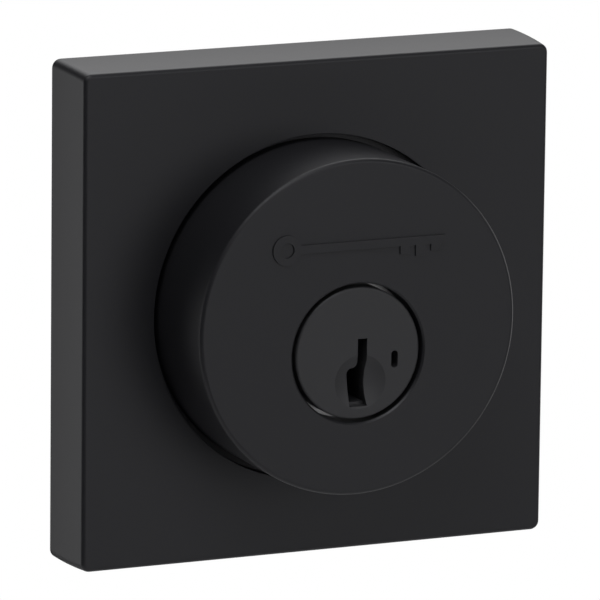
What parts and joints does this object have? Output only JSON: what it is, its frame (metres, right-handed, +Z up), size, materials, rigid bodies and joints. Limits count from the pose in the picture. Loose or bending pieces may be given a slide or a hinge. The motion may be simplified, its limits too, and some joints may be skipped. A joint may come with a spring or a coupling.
{
  "type": "deadbolt lock exterior",
  "caption": "Square-rose deadbolt, outside half: round guard, turning key plug, re-keyable side-bar tumblers, tailpiece and threaded posts.",
  "frame": {"origin": "on the key plug's axis, in the plane of the door's outside face", "axes": "-Y points out of the door towards the person with the key, +Y goes into the door, +Z is up, +X is to the right as seen from outside"},
  "size_m": [0.0674, 0.0844, 0.0673],
  "materials": {
    "black_coating": "satin black powder coat on a zinc casting",
    "plug_coating": "thin satin black lacquer on brass",
    "zinc_plated_steel": "zinc plated",
    "zinc_casting": "as cast",
    "brass": "turned",
    "hardened_steel": "ground",
    "spring_steel": "drawn wire",
    "moulded_plastic": "fine moulded grain"
  },
  "bodies": {
    "housing": {"rose_plate": "black_coating", "rose_screws": "zinc_plated_steel", "support_plate": "zinc_plated_steel", "mounting_posts": "zinc_plated_steel", "adapter_ring": "moulded_plastic", "cylinder_guard": "black_coating", "guard_screws": "zinc_plated_steel", "cylinder_body": "zinc_casting"},
    "plug": {"key_plug": "plug_coating", "chamber_cover": "brass", "drill_guard_balls": "hardened_steel", "plug_clip": "zinc_plated_steel", "tail_cap": "brass", "tail_cap_screws": "zinc_plated_steel", "carriage_spring": "spring_steel", "pin_spring_1": "spring_steel", "pin_spring_2": "spring_steel", "pin_spring_3": "spring_steel", "pin_spring_4": "spring_steel", "pin_spring_5": "spring_steel"},
    "tail": {"tailpiece": "zinc_plated_steel"},
    "carriage": {"rack_carriage": "zinc_casting", "side_bar_springs": "spring_steel"},
    "bar": {"side_bar": "hardened_steel"},
    "pin_1": {"key_pin_1": "brass"},
    "rack_1": {"tumbler_rack_1": "hardened_steel"},
    "pin_2": {"key_pin_2": "brass"},
    "rack_2": {"tumbler_rack_2": "hardened_steel"},
    "pin_3": {"key_pin_3": "brass"},
    "rack_3": {"tumbler_rack_3": "hardened_steel"},
    "pin_4": {"key_pin_4": "brass"},
    "rack_4": {"tumbler_rack_4": "hardened_steel"},
    "pin_5": {"key_pin_5": "brass"},
    "rack_5": {"tumbler_rack_5": "hardened_steel"}
  },
  "joints": [
    {"name": "plug_turn", "type": "hinge", "parent": "housing", "child": "plug", "pos_m": [0, 0, 0], "axis": [0, 1, 0], "range_deg": [-90, 90]},
    {"name": "tailpiece_swing", "type": "hinge", "parent": "plug", "child": "tail", "pos_m": [0, 0, 0], "axis": [0, 1, 0], "range_deg": [0, 90]},
    {"name": "carriage_shift", "type": "slide", "parent": "plug", "child": "carriage", "axis": [0, 1, 0], "range_m": [0, 0.002], "stiffness_N_per_m": 40, "springref_m": -0.001, "deforming": ["carriage_spring"]},
    {"name": "side_bar_slide", "type": "slide", "parent": "carriage", "child": "bar", "axis": [-1, 0, 0], "range_m": [0, 0.00095], "stiffness_N_per_m": 20, "springref_m": -0.0005, "deforming": ["side_bar_springs"]},
    {"name": "pin_1_drop", "type": "slide", "parent": "plug", "child": "pin_1", "axis": [0, 0, 1], "range_m": [-0.0018, 0], "stiffness_N_per_m": 20, "springref_m": -0.0028, "deforming": ["pin_spring_1"]},
    {"name": "rack_1_drop", "type": "slide", "parent": "carriage", "child": "rack_1", "axis": [0, 0, 1], "range_m": [-0.0018, 0]},
    {"name": "pin_2_drop", "type": "slide", "parent": "plug", "child": "pin_2", "axis": [0, 0, 1], "range_m": [-0.0006, 0], "stiffness_N_per_m": 20, "springref_m": -0.0016, "deforming": ["pin_spring_2"]},
    {"name": "rack_2_drop", "type": "slide", "parent": "carriage", "child": "rack_2", "axis": [0, 0, 1], "range_m": [-0.0006, 0]},
    {"name": "pin_3_drop", "type": "slide", "parent": "plug", "child": "pin_3", "axis": [0, 0, 1], "range_m": [-0.0024, 0], "stiffness_N_per_m": 20, "springref_m": -0.0034, "deforming": ["pin_spring_3"]},
    {"name": "rack_3_drop", "type": "slide", "parent": "carriage", "child": "rack_3", "axis": [0, 0, 1], "range_m": [-0.0024, 0]},
    {"name": "pin_4_drop", "type": "slide", "parent": "plug", "child": "pin_4", "axis": [0, 0, 1], "range_m": [-0.0012, 0], "stiffness_N_per_m": 20, "springref_m": -0.0022, "deforming": ["pin_spring_4"]},
    {"name": "rack_4_drop", "type": "slide", "parent": "carriage", "child": "rack_4", "axis": [0, 0, 1], "range_m": [-0.0012, 0]},
    {"name": "pin_5_drop", "type": "slide", "parent": "plug", "child": "pin_5", "axis": [0, 0, 1], "range_m": [-0.0018, 0], "stiffness_N_per_m": 20, "springref_m": -0.0028, "deforming": ["pin_spring_5"]},
    {"name": "rack_5_drop", "type": "slide", "parent": "carriage", "child": "rack_5", "axis": [0, 0, 1], "range_m": [-0.0018, 0]}
  ],
  "couplings": [
    {"joint": "rack_1_drop", "follows": "pin_1_drop", "ratio": 1},
    {"joint": "rack_2_drop", "follows": "pin_2_drop", "ratio": 1},
    {"joint": "rack_3_drop", "follows": "pin_3_drop", "ratio": 1},
    {"joint": "rack_4_drop", "follows": "pin_4_drop", "ratio": 1},
    {"joint": "rack_5_drop", "follows": "pin_5_drop", "ratio": 1}
  ]
}
